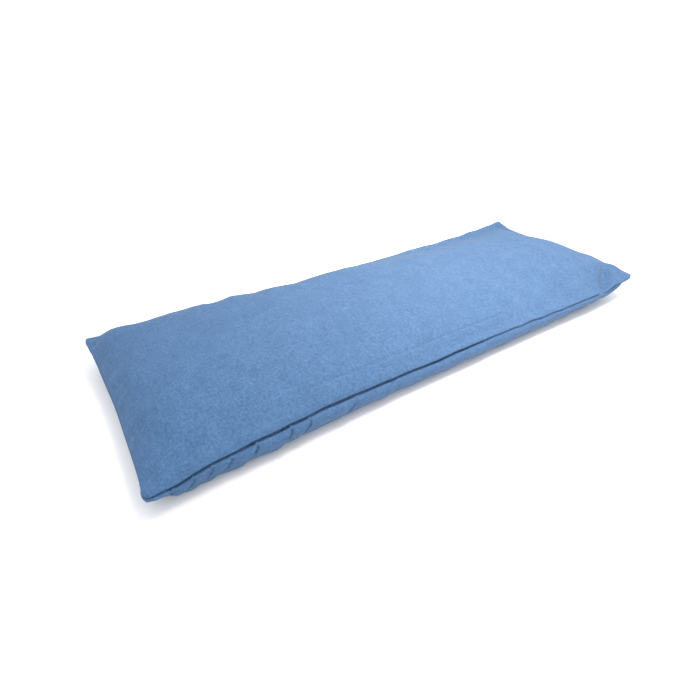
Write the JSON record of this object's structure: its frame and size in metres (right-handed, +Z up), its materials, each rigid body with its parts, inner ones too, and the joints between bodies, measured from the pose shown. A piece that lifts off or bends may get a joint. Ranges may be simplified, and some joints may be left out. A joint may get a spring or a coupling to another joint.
{
  "type": "eye pillow",
  "caption": "Slim rectangular eye pillow: a sewn blue cotton cover over a calico bag of flaxseed and lavender, lying flat.",
  "frame": {"origin": "middle of the flat underside, on the surface the pillow lies on", "axes": "+X along the length to the thinner end, +Y across the width to the long side that was sewn in one run, +Z up through the thickness; the long side that was closed by hand faces -Y"},
  "size_m": [0.245, 0.091, 0.0232],
  "materials": {
    "cover_cotton": "matte",
    "cover_thread": "satin",
    "calico": "matte",
    "calico_thread": "satin",
    "flaxseed": "gloss",
    "lavender": "matte"
  },
  "bodies": {
    "root": {"cover_top_panel": "cover_cotton", "cover_bottom_panel": "cover_cotton", "cover_needle_thread": "cover_thread", "cover_bobbin_thread": "cover_thread", "cover_closing_thread": "cover_thread", "inner_bag_top_panel": "calico", "inner_bag_bottom_panel": "calico", "inner_bag_needle_thread": "calico_thread", "inner_bag_bobbin_thread": "calico_thread", "inner_bag_closing_thread": "calico_thread", "flaxseed_fill": "flaxseed", "lavender_buds": "lavender"}
  },
  "joints": []
}
